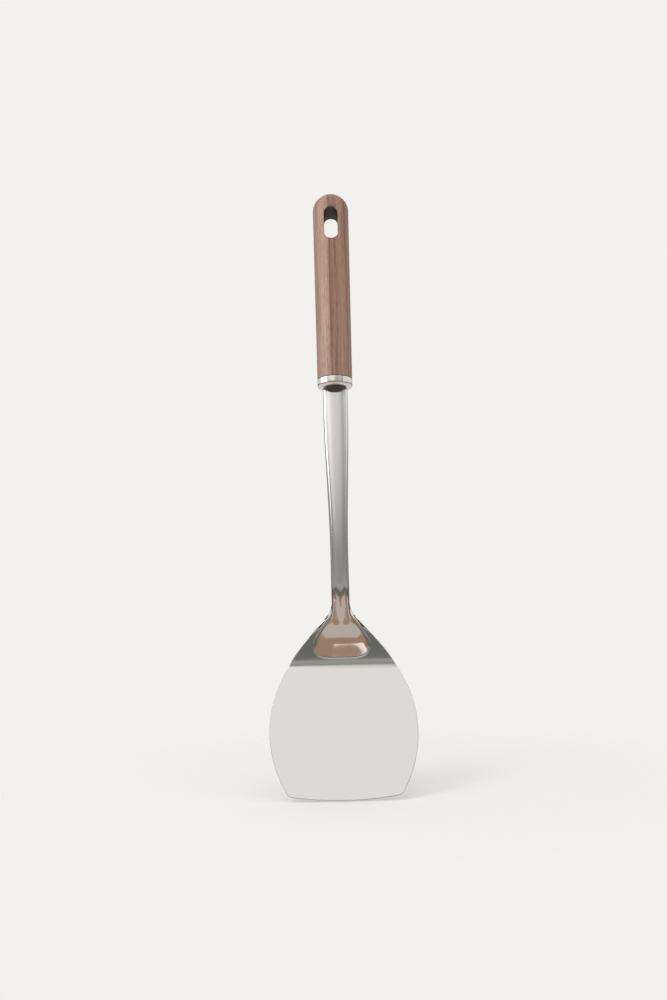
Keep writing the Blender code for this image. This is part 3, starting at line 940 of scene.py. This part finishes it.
@dataclass
class Handle:
    """The walnut handle: a round bar with a ball end, a tenon for the ferrule, a hang slot and a bore.

    Each row of turning names a value of the turned bar's node tree, the operation that gives it and its
    terms. Corners holds the radius and height of the row of points at each corner, from the ball down.
    The slot's flare is how much wider its cutter ends, and how far outside the bar.
    """

    ferrule: Ferrule
    ball_diameter: float = 0.0233
    top: float = 0.0120
    slot_width: float = 0.0089
    slot_length: float = 0.0219
    slot_ease: float = 0.0006
    slot_steps: int = 20
    ease_steps: int = 5
    slot_flare: Pair = (0.0015, 0.0012)
    bore_diameter: float = 0.0112
    bore_top: float = -0.057
    bore_steps: int = 64
    edge_ease: float = 0.0004
    ball_rows: int = 24
    bar_rows: int = 44
    steps: int = 120
    sharp_angle: float = 35.0
    turning: tuple[tuple, ...] = (
        ("ball", "MULTIPLY", "Ball Diameter", 0.5),
        ("foot", "MULTIPLY", "Foot Diameter", 0.5),
        ("tenon", "MULTIPLY", "Tenon Diameter", 0.5),
        ("around", "ADD", "Steps", 1.0),
        ("point", "ADD", "index", 0.5),
        ("round", "DIVIDE", "point", "around"),
        ("row", "FLOOR", "round"),
        ("first", "MULTIPLY", "row", "around"),
        ("column", "SUBTRACT", "index", "first"),
        ("share round", "DIVIDE", "column", "Steps"),
        ("turn", "MULTIPLY", "share round", 2 * math.pi),
        ("down ball", "DIVIDE", "row", "Ball Rows"),
        ("ball share", "MINIMUM", "down ball", 1.0),
        ("ball angle", "MULTIPLY", "ball share", math.pi / 2),
        ("ball centre", "SUBTRACT", "Top", "ball"),
        ("cosine", "COSINE", "ball angle"),
        ("ball height", "MULTIPLY_ADD", "ball", "cosine", "ball centre"),
        ("sine", "SINE", "ball angle"),
        ("ball radius", "MULTIPLY", "ball", "sine"),
        ("under ball", "SUBTRACT", "row", "Ball Rows"),
        ("past ball", "MAXIMUM", "under ball", 0.0),
        ("down bar", "DIVIDE", "past ball", "Bar Rows"),
        ("bar share", "MINIMUM", "down bar", 1.0),
        ("bar end", "ADD", "Shoulder", "Edge Ease"),
        ("bar length", "SUBTRACT", "bar end", "ball centre"),
        ("run height", "MULTIPLY_ADD", "bar length", "bar share", "ball height"),
        ("taper", "SUBTRACT", "foot", "ball"),
        ("run radius", "MULTIPLY_ADD", "taper", "bar share", "ball radius"),
        ("half ease", "MULTIPLY", "Edge Ease", 1 - math.sqrt(0.5)),
        ("eased foot", "SUBTRACT", "foot", "half ease"),
        ("eased shoulder", "ADD", "Shoulder", "half ease"),
        ("inner foot", "SUBTRACT", "foot", "Edge Ease"),
        ("under bar", "SUBTRACT", "past ball", "Bar Rows"),
        ("past bar", "MAXIMUM", "under bar", 0.0),
        ("long rows", "ADD", "Ball Rows", "Bar Rows"),
        ("rows", "ADD", "long rows", 6.0),
    )
    corners: tuple[tuple, ...] = (
        ("run radius", "run height"),
        ("eased foot", "eased shoulder"),
        ("inner foot", "Shoulder"),
        ("tenon", "Shoulder"),
        ("tenon", "Foot"),
        (0.0, "Foot"),
    )

    def sizes(self) -> dict[str, float | int]:
        """Lists the turned bar's sizes.

        Returns:
            Each size, under the name of its input in the node tree.
        """
        cup = self.ferrule
        return {
            "Ball Diameter": self.ball_diameter,
            "Foot Diameter": cup.diameter,
            "Tenon Diameter": cup.diameter - 2 * (cup.wall + FIT_GAP),
            "Top": self.top,
            "Shoulder": cup.top + FIT_GAP,
            "Foot": cup.bottom() + cup.roll,
            "Edge Ease": self.edge_ease,
            "Ball Rows": self.ball_rows,
            "Bar Rows": self.bar_rows,
            "Steps": self.steps,
        }

    def turning_tree(self) -> NodeTree:
        """Makes the node tree that turns the bar from its sizes.

        Its rows run down the ball, along the bar, round the lower edge and over the tenon. A grid's points
        are sent to their row's radius and height, and to their column's angle.

        Returns:
            The tree, whose named inputs are the sizes.
        """
        tree = bpy.data.node_groups.new("turned_bar", "GeometryNodeTree")
        for name, size in self.sizes().items():
            kind = "NodeSocketInt" if isinstance(size, int) else "NodeSocketFloat"
            tree.interface.new_socket(name, in_out="INPUT", socket_type=kind)
        tree.interface.new_socket("Material", in_out="INPUT", socket_type="NodeSocketMaterial")
        tree.interface.new_socket("Geometry", in_out="OUTPUT", socket_type="NodeSocketGeometry")
        add = partial(add_node, tree)
        given = add("NodeGroupInput").node.outputs
        known = {name: given[name] for name in self.sizes()}
        known["index"] = add("GeometryNodeInputIndex")
        for name, operation, *terms in self.turning:
            values = tuple(known.get(term, term) for term in terms)
            known[name] = add("ShaderNodeMath", values, operation=operation)
        switch = add("GeometryNodeIndexSwitch", (known["past bar"],), data_type="VECTOR").node
        while len(switch.index_switch_items) < len(self.corners):
            switch.index_switch_items.new()
        for i, (radius, height) in enumerate(self.corners):
            place = add("ShaderNodeCombineXYZ", (known.get(radius, radius), 0.0, known[height]))
            tree.links.new(place, switch.inputs[i + 1])
        swing = {"Vector": switch.outputs[0], "Angle": known["turn"]}
        point = add("ShaderNodeVectorRotate", swing, rotation_type="Z_AXIS")
        counts = {"Vertices X": known["rows"], "Vertices Y": known["around"]}
        bar = add("GeometryNodeMeshGrid", counts)
        bar = add("GeometryNodeSetPosition", {"Geometry": bar, "Position": point})
        bar = add("GeometryNodeMergeByDistance", {"Geometry": bar, "Distance": MERGE_DISTANCE})
        bar = add("GeometryNodeRealizeInstances", (bar,))
        bar = add("GeometryNodeSetMaterial", {"Geometry": bar, "Material": given["Material"]})
        add("NodeGroupOutput", (bar,))
        return tree

    def turned(self, material: Material) -> Object:
        """Turns the bar with the node tree.

        Args:
            material: the wood.

        Returns:
            The plain bar, on its own axis.
        """
        tree = self.turning_tree()
        piece = object_with("walnut_handle", bpy.data.meshes.new("handle"))
        modifier = piece.modifiers.new("turned_bar", "NODES")
        modifier.node_group = tree
        given = self.sizes() | {"Material": material}
        for item in tree.interface.items_tree:
            if item.in_out == "INPUT":
                modifier[item.identifier] = given[item.name]
        baked(piece)
        bm = bmesh.new()
        bm.from_mesh(piece.data)
        piece.data = mesh_from("handle", bm)
        return piece

    def slot_mesh(self) -> Mesh:
        """Makes what the hang slot takes out: a round-ended slot whose edges roll out to the bar's surface.

        Returns:
            The closed cutter.
        """
        radius = self.slot_width / 2
        roll = []
        for i in range(self.ease_steps + 1):
            angle = math.pi / 2 * i / self.ease_steps
            roll.append((self.slot_ease * (1 - math.cos(angle)), self.slot_ease * (math.sin(angle) - 1)))
        roll.append(self.slot_flare)
        sides = [(-1, grown, out) for grown, out in reversed(roll)] + [(1, grown, out) for grown, out in roll]
        bm = bmesh.new()
        rings = []
        for side, grown, out in sides:
            ring = []
            for middle, first in ((-radius, 0.0), (radius - self.slot_length, math.pi)):
                for i in range(self.slot_steps + 1):
                    angle = first + math.pi * i / self.slot_steps
                    x = (radius + grown) * math.cos(angle)
                    surface = math.sqrt((self.ball_diameter / 2) ** 2 - x**2)
                    z = middle + (radius + grown) * math.sin(angle)
                    ring.append(bm.verts.new((x, side * (surface + out), z)))
            rings.append(ring)
        for near, far in zip(rings, rings[1:]):
            for i in range(len(near)):
                bm.faces.new((near[i - 1], near[i], far[i], far[i - 1]))
        for ring in (rings[0], rings[-1]):
            middle = bm.verts.new(sum((vert.co for vert in ring), Vector()) / len(ring))
            for i in range(len(ring)):
                bm.faces.new((ring[i - 1], ring[i], middle))
        return mesh_from("slot", bm)

    def build(self) -> Object:
        """Turns the bar, cuts the slot and the bore and dresses it.

        Returns:
            The piece.
        """
        ball = self.ball_diameter / 2
        material = OiledWalnut(ball, self.top - ball).material()
        piece = self.turned(material)
        cut_out(piece, self.slot_mesh())
        radius = self.bore_diameter / 2
        below = self.ferrule.bottom()
        bore = [(0.0, self.bore_top), (radius, self.bore_top), (radius, below), (0.0, below)]
        cut_out(piece, turned_mesh("bore", bore, self.bore_steps))
        leaned(piece, self.sharp_angle, material)
        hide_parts("handle")
        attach(piece, BODY)
        return piece


@dataclass
class PhotoCamera:
    """The camera: a 60 mm lens, level, in front of the blade's edge, rolled a little.

    Rows and the picture's height are in pixels.
    """

    lens: float = 60.0
    distance: float = 0.981
    axis_row: float = 500.0
    edge_row: float = 802.0
    aside: float = -0.0028
    roll: float = 1.44
    image_height: float = 1000.0

    def build(self) -> None:
        """Places the camera and makes it the scene's."""
        low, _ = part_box("blade_and_shank")
        data = bpy.data.cameras.new("photo_camera")
        data.lens = self.lens
        focal = self.lens / data.sensor_width * self.image_height
        up = (self.edge_row - self.axis_row) * self.distance / focal
        camera = object_with("photo_camera", data)
        camera.location = (self.aside, low.y - self.distance, low.z + up)
        camera.rotation_euler = (math.pi / 2, math.radians(self.roll), 0.0)
        bpy.context.scene.camera = camera


@dataclass
class Studio:
    """A pale floor and background, a soft panel before and over the tool, and the room the steel mirrors.

    Azimuths are in degrees from the camera, and heights in the mirrored room are sines of the elevation. A
    stop is a place and its colour or level. An edge is a place across and one or two distances in front.
    """

    background: str = "#f3f1ed"
    floor_colour: str = "#eeebe8"
    floor_reach: float = 0.34
    floor_share: float = 0.65
    floor_fade: Pair = (0.3, 0.95)
    floor_behind: float = 0.05
    floor_drop: float = 0.0002
    floor_steps: int = 96
    mirrored_floor: str = "#dccfc8"
    mirrored_edge: Pairs = (
        (0.0, -0.301), (0.035, -0.322), (0.085, -0.368), (0.155, -0.42), (0.29, -0.53), (0.8, -0.98),
        (1.5, -1.52),
    )
    mirrored_back: float = -0.20
    strip_colour: str = "#fff4ec"
    strip_level: float = 1.4
    strip_edge: tuple[tuple[float, float, float], ...] = (
        (-0.012, -0.438, -0.414), (0.04, -0.476, -0.449), (0.095, -0.530, -0.500), (0.2, -0.74, -0.64),
        (0.45, -1.25, -1.05),
    )
    near_floor: str = "#f4f1ee"
    near_sines: Pair = (-0.59, -0.15)
    near_azimuths: Pair = (70.0, 100.0)
    near_blur: float = 0.05
    table_stops: Stops = (
        (-180, "#756b64"), (-70, "#756b64"), (-45, "#b99a86"), (45, "#b99a86"), (70, "#756b64"),
        (180, "#756b64"),
    )
    hidden_table: float = -0.20
    hidden_azimuths: Pair = (4.0, 8.0)
    horizon_blur: float = 0.015
    dark_band: str = "#7b7f78"
    wall_stops: Stops = ((0.05, "#7b7f78"), (0.13, "#ffffff"), (0.36, "#ffffff"), (0.42, "#7b7f78"))
    around_stops: Stops = (
        (-180, "#dddddd"), (-125, "#d4d2d0"), (-110, "#c0bdba"), (-96, "#8a8784"), (105, "#8a8784"),
        (125, "#d4d2d0"), (150, "#dddddd"),
    )
    wall_azimuths: Pair = (48.0, 58.0)
    wall_level: float = 1.45
    panel_colour: str = "#f7f5f3"
    panel_radius: float = 0.57
    panel_centre: float = -0.03
    panel_azimuth: float = 53.0
    panel_top: float = 0.75
    panel_back: float = 0.75
    panel_steps: int = 24
    panel_fade: Pairs = (
        (-0.16, 0.0), (-0.10, 0.24), (-0.04, 0.28), (0.03, 0.25), (0.09, 0.20), (0.115, 0.19), (0.155, 0.46),
        (0.195, 0.64), (0.235, 0.77), (0.30, 0.87), (0.47, 0.95), (0.55, 1.0),
    )
    panel_aside: Pairs = (
        (-0.44, 1.5), (-0.16, 1.5), (-0.08, 1.25), (0.0, 1.0), (0.08, 0.8), (0.16, 0.66), (0.26, 0.70),
        (0.34, 1.05), (0.44, 1.05),
    )
    aside_heights: Pair = (0.07, 0.14)
    aside_fade: Pair = (0.35, 0.49)
    side_distance: float = 0.3
    side_heights: Pair = (-0.097, 0.085)
    side_cards: tuple[tuple[str, float, float, float], ...] = (
        ("left_window", -104.0, -50.0, 2.2),
        ("right_card", 52.0, 116.0, 1.05),
    )
    panel_level: float = 1.26
    key_level: float = 6.0
    key_width: float = 0.7
    key_place: tuple[float, float, float] = (-0.9, -0.8, 0.8)
    key_aim: tuple[float, float, float] = (0.0, -0.05, -0.2)

    def mirrored_room(self, tree: NodeTree) -> NodeSocket:
        """Adds the room as the steel mirrors it: a brown table, a dark band over it, and light walls aside.

        The table's far part is hidden behind the dark band straight ahead.

        Args:
            tree: the world's node tree.

        Returns:
            Its colour.
        """
        add = partial(add_node, tree)
        direction = add("ShaderNodeTexCoord", output="Generated")
        right, back, up = add("ShaderNodeSeparateXYZ", (direction,)).node.outputs
        ahead = add("ShaderNodeMath", (back, -1.0), operation="MULTIPLY")
        azimuth = add("ShaderNodeMath", (right, ahead), operation="ARCTAN2")
        azimuth = add("ShaderNodeMath", (azimuth, 180 / math.pi), operation="MULTIPLY")
        aside = add("ShaderNodeMath", (azimuth,), operation="ABSOLUTE")
        table = graded(tree, azimuth, self.table_stops, (-180, 180))
        around = graded(tree, azimuth, self.around_stops, (-180, 180))
        wall = graded(tree, up, self.wall_stops)
        side = add("ShaderNodeVectorMath", (wall, around), operation="MULTIPLY")
        lit = add("ShaderNodeVectorMath", (side, self.wall_level), operation="SCALE")
        share = add("ShaderNodeMapRange", (aside, *self.wall_azimuths))
        above = add("ShaderNodeMix", (share, linear(self.dark_band), lit), data_type="RGBA")
        horizon = add("ShaderNodeMapRange", (aside, *self.hidden_azimuths, self.hidden_table, 0.0))
        paper = add("ShaderNodeMapRange", (aside, *self.near_azimuths, *self.near_sines))
        shares = []
        for edge, blur in ((horizon, self.horizon_blur), (paper, self.near_blur)):
            over = add("ShaderNodeMath", (up, edge), operation="SUBTRACT")
            shares.append(add("ShaderNodeMapRange", (over, -blur, blur)))
        raised, off_paper = shares
        below = add("ShaderNodeMix", (off_paper, linear(self.near_floor), table), data_type="RGBA")
        return add("ShaderNodeMix", (raised, below, above), data_type="RGBA")

    def world(self) -> None:
        """Makes the world: plain to the camera and to matt surfaces, and the mirrored room to the steel."""
        world = bpy.data.worlds.new("studio")
        bpy.context.scene.world = world
        world.use_nodes = True
        tree = world.node_tree
        tree.nodes.clear()
        add = partial(add_node, tree)
        glossy = add("ShaderNodeLightPath", output="Is Glossy Ray")
        views = (glossy, linear(self.background), self.mirrored_room(tree))
        view = add("ShaderNodeMix", views, data_type="RGBA")
        sky = add("ShaderNodeBackground", (view, 1.0))
        add("ShaderNodeOutputWorld", (sky,))

    def screen(
        self, name: str, points: list[tuple], material: Material, faces: list[tuple[int, ...]] | None = None
    ) -> None:
        """Sets up a screen, which is stage and which only glossy surfaces mirror.

        Args:
            name: its name.
            points: its points.
            material: its material.
            faces: its faces, as numbers of points, or None for one face round all the points.
        """
        mesh = bpy.data.meshes.new(name)
        mesh.from_pydata(points, [], faces or [tuple(range(len(points)))])
        mesh.materials.append(material)
        screen = object_with(name, mesh)
        screen.visible_camera = screen.visible_diffuse = screen.visible_shadow = False

    def plain_glow(self, name: str, colour: str, level: float) -> Material:
        """Makes the material of a card that shows one colour.

        Args:
            name: its name.
            colour: the colour.
            level: its brightness.

        Returns:
            The material.
        """
        material, tree = new_material(name)
        light = add_node(tree, "ShaderNodeEmission", (linear(colour), level))
        add_node(tree, "ShaderNodeOutputMaterial", (light,))
        return material

    def panel_glow(self) -> Material:
        """Makes the soft panel's material, which fades towards its foot and dims to the right half way up.

        Returns:
            The material.
        """
        material, tree = new_material("panel_cloth")
        add = partial(add_node, tree)
        place = add("ShaderNodeTexCoord", output="Object")
        across, _, up = add("ShaderNodeSeparateXYZ", (place,)).node.outputs
        brightest = self.panel_aside[0][1]
        levels = [(x, level / brightest) for x, level in self.panel_aside]
        aside = graded(tree, across, levels, (levels[0][0], levels[-1][0]))
        share = graded(tree, up, self.panel_fade, (self.panel_fade[0][0], self.panel_fade[-1][0]))
        rising = add("ShaderNodeMapRange", (up, *self.aside_heights))
        falling = add("ShaderNodeMapRange", (up, *self.aside_fade, 1.0, 0.0))
        both = add("ShaderNodeMath", (rising, falling), operation="MULTIPLY")
        even = (1 / brightest, 1 / brightest, 1 / brightest, 1.0)
        level = add("ShaderNodeMix", (both, even, aside), data_type="RGBA")
        strength = add("ShaderNodeMath", (level, self.panel_level * brightest), operation="MULTIPLY")
        light = add("ShaderNodeEmission", (linear(self.panel_colour), strength))
        clear = add("ShaderNodeBsdfTransparent")
        mixed = add("ShaderNodeMixShader", (share, clear, light))
        add("ShaderNodeOutputMaterial", (mixed,))
        return material

    def cards(self) -> None:
        """Sets up what the steel mirrors nearby: pale floor, light strip, a card at each side, soft panel."""
        low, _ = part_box("blade_and_shank")
        level = low.z - self.floor_drop
        far = self.mirrored_edge[-1][0]
        outline = [(-x, y, level) for x, y in reversed(self.mirrored_edge[1:])]
        outline += [(x, y, level) for x, y in self.mirrored_edge]
        outline += [(far, self.mirrored_back, level), (-far, self.mirrored_back, level)]
        self.screen("mirrored_floor", outline, self.plain_glow("floor_glow", self.mirrored_floor, 1.0))
        strip = [(x, front, level) for x, front, _ in self.strip_edge]
        strip += [(x, back, level) for x, _, back in reversed(self.strip_edge)]
        self.screen("light_strip", strip, self.plain_glow("strip_glow", self.strip_colour, self.strip_level))
        foot, head = self.side_heights
        for name, first, last, glow in self.side_cards:
            corners = []
            for degrees, height in ((first, foot), (last, foot), (last, head), (first, head)):
                angle = math.radians(degrees)
                x = self.side_distance * math.sin(angle)
                corners.append((x, -self.side_distance * math.cos(angle), height))
            self.screen(name, corners, self.plain_glow(name, "#ffffff", glow))
        self.panel()

    def panel(self) -> None:
        """Sets up the soft panel: an upright curved part before the tool, and a flat part over it."""
        points = []
        foot = self.panel_fade[0][0]
        for i in range(self.panel_steps + 1):
            angle = math.radians(self.panel_azimuth * (2 * i / self.panel_steps - 1))
            x = self.panel_radius * math.sin(angle)
            y = self.panel_centre - self.panel_radius * math.cos(angle)
            points += [(x, y, foot), (x, y, self.panel_top)]
        faces = [(2 * i, 2 * i + 2, 2 * i + 3, 2 * i + 1) for i in range(self.panel_steps)]
        far = len(points)
        side = points[-1][0]
        points += [(side, self.panel_back, self.panel_top), (-side, self.panel_back, self.panel_top)]
        faces.append(tuple(range(1, far, 2)) + (far, far + 1))
        self.screen("soft_panel", points, self.panel_glow(), faces)

    def floor(self) -> None:
        """Lays a pale matt disc under the blade, which fades into the background."""
        low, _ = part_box("blade_and_shank")
        centre = Vector((0.0, low.y + self.floor_behind, low.z - self.floor_drop))
        bm = bmesh.new()
        bmesh.ops.create_circle(bm, cap_ends=True, segments=self.floor_steps, radius=self.floor_reach)
        bmesh.ops.translate(bm, verts=bm.verts, vec=centre)
        floor = object_with("pale_floor", mesh_from("floor", bm))
        material, tree = new_material("pale_floor_paint")
        add = partial(add_node, tree)
        place = add("ShaderNodeTexCoord", output="Object")
        centred = add("ShaderNodeMapping", {"Vector": place, "Location": -centre})
        distance = add("ShaderNodeVectorMath", (centred,), operation="LENGTH")
        first, last = (share * self.floor_reach for share in self.floor_fade)
        fading = (distance, first, last, 1 - self.floor_share)
        fade = add("ShaderNodeMapRange", fading, interpolation_type="SMOOTHSTEP")
        paint = add("ShaderNodeBsdfDiffuse", (linear(self.floor_colour),))
        clear = add("ShaderNodeBsdfTransparent")
        mixed = add("ShaderNodeMixShader", (fade, paint, clear))
        add("ShaderNodeOutputMaterial", (mixed,))
        floor.data.materials.append(material)
        floor.visible_glossy = False

    def key(self) -> None:
        """Sets a soft key light up to the left in front, which the steel doesn't mirror."""
        data = bpy.data.lights.new("soft_key", "AREA")
        data.shape = "DISK"
        data.size = self.key_width
        data.energy = self.key_level
        light = object_with("soft_key", data)
        light.location = self.key_place
        aim = Vector(self.key_aim) - light.location
        light.rotation_euler = aim.to_track_quat("-Z", "Y").to_euler()
        light.visible_glossy = False

    def build(self) -> None:
        """Sets up the world, the cards, the floor, the key light and the view."""
        self.world()
        self.cards()
        self.floor()
        self.key()
        bpy.context.scene.view_settings.view_transform = "Standard"


def main() -> None:
    """Builds the studio and the spatula, and notes the face count of each piece."""
    logging.basicConfig(level=logging.INFO, format="%(message)s")
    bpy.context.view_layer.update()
    PhotoCamera().build()
    Studio().build()
    ferrule = Ferrule()
    for maker in (BladeAndShank(), ferrule, MouthSeal(ferrule), TangBond(), Handle(ferrule)):
        piece = maker.build()
        LOG.info("%s: %d faces", piece.name, len(piece.data.polygons))


if __name__ == "__main__":
    main()
